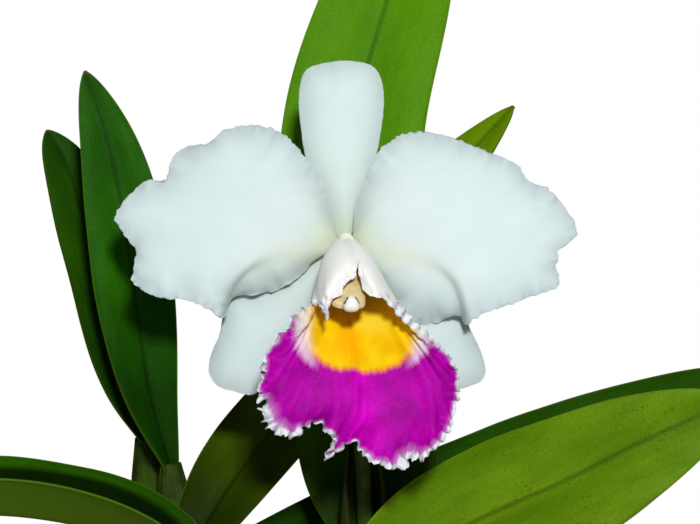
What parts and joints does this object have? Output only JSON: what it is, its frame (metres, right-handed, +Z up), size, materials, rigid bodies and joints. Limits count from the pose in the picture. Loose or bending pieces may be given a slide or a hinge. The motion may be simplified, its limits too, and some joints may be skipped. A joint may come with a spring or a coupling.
{
  "type": "potted cattleya orchid",
  "caption": "Cattleya orchid in flower: white petals and sepals, a frilled magenta and yellow lip, strap leaves on pseudobulbs, in a plain clay pot of bark.",
  "frame": {"origin": "centre of the pot's foot, on the surface it stands on", "axes": "+Z up, along the pot's axis; the flower faces -Y; +X is to the right when the flower is seen from the front"},
  "size_m": [0.3233, 0.156, 0.4301],
  "materials": {
    "clay": "matt unglazed terracotta, slightly mottled",
    "bark": "rough dry fir bark chips",
    "rhizome": "dull olive stem and pale grey-green roots with dry papery skin",
    "pseudobulb": "satin mid-green, lightly grooved, with thin papery rings",
    "leaf": "leathery satin-gloss green with a fine pebbled surface and faint lengthwise veins",
    "sheath": "thin, dull green, drying to straw at its edge",
    "stem": "satin pale green",
    "petal": "soft matt cool white, crystalline, greenish yellow towards the centre",
    "lip": "velvety magenta with a golden throat, a white hood and a ruffled white edge",
    "column": "waxy cream",
    "cap": "waxy near-white"
  },
  "bodies": {
    "root": {"pot": "clay", "bark_medium": "bark", "rhizome_and_roots": "rhizome", "pseudobulb_left_front": "pseudobulb", "pseudobulb_left_back": "pseudobulb", "pseudobulb_lower_left": "pseudobulb", "pseudobulb_centre_left": "pseudobulb", "pseudobulb_right_back": "pseudobulb", "pseudobulb_flowering": "pseudobulb", "pseudobulb_right_front": "pseudobulb", "leaf_left_front": "leaf", "leaf_left_back": "leaf", "leaf_lower_left": "leaf", "leaf_centre_left": "leaf", "leaf_right_back": "leaf", "leaf_flowering": "leaf", "leaf_right_front": "leaf", "flower_sheath": "sheath", "flower_stem": "stem", "ovary": "stem", "dorsal_sepal": "petal", "lateral_sepal_left": "petal", "lateral_sepal_right": "petal", "petal_left": "petal", "petal_right": "petal", "lip": "lip", "column": "column", "anther_cap": "cap"}
  },
  "joints": []
}
